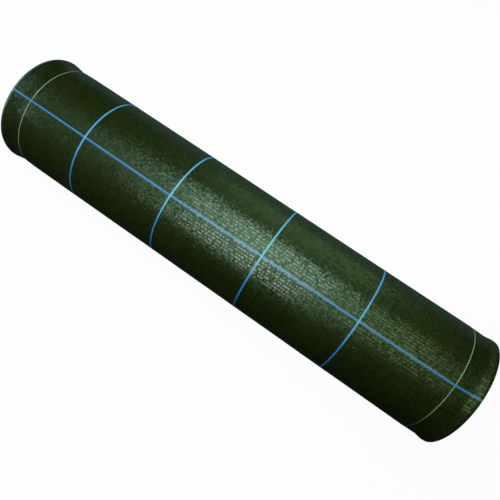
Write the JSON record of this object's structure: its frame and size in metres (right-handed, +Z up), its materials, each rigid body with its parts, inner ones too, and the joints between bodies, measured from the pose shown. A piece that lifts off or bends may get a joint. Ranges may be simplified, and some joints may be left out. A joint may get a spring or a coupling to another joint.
{
  "type": "roll of weed control sheet",
  "caption": "Woven green ground cover sheet with blue marker lines, wound on a paper core, with a loose end that lifts.",
  "frame": {"origin": "on the ground under the middle of the roll, at the bottom centre of its box", "axes": "+X along the roll, towards the end that is lower right in the picture; -Y the front; +Z up"},
  "size_m": [1.02, 0.228, 0.2251],
  "materials": {
    "woven_sheet": "woven polypropylene tape, dark green, soft sheen",
    "wound_layers": "edges of the wound layers, dark green, dull",
    "blue_marker_tape": "woven polypropylene tape, bright blue, soft sheen",
    "pale_marker_tape": "woven polypropylene tape, pale green-white, soft sheen",
    "core_board": "spiral-wound brown board, dull",
    "start_tape": "paper adhesive tape",
    "closing_tape": "clear adhesive tape, slightly yellowed, glossy"
  },
  "bodies": {
    "roll": {"core_tube": "core_board", "core_start_tape": "start_tape", "inner_turns": "wound_layers", "outer_turn": "woven_sheet", "blue_warp_tape_1": "blue_marker_tape", "blue_warp_tape_2": "blue_marker_tape", "blue_warp_tape_3": "blue_marker_tape", "blue_warp_tape_4": "blue_marker_tape", "white_warp_tape_left": "pale_marker_tape", "white_warp_tape_right": "pale_marker_tape", "blue_weft_tape_1": "blue_marker_tape", "blue_weft_tape_2": "blue_marker_tape", "blue_weft_tape_3": "blue_marker_tape"},
    "loose_end": {"end_flap": "woven_sheet", "blue_warp_end_1": "blue_marker_tape", "blue_warp_end_2": "blue_marker_tape", "blue_warp_end_3": "blue_marker_tape", "blue_warp_end_4": "blue_marker_tape", "white_warp_end_left": "pale_marker_tape", "white_warp_end_right": "pale_marker_tape", "blue_weft_end": "blue_marker_tape", "closing_tape_left": "closing_tape", "closing_tape_middle": "closing_tape", "closing_tape_right": "closing_tape"}
  },
  "joints": [
    {"name": "end_flap_lift", "type": "hinge", "parent": "roll", "child": "loose_end", "pos_m": [0, 0.09957, 0.16721], "axis": [1, 0, 0], "range_deg": [0, 100]}
  ]
}
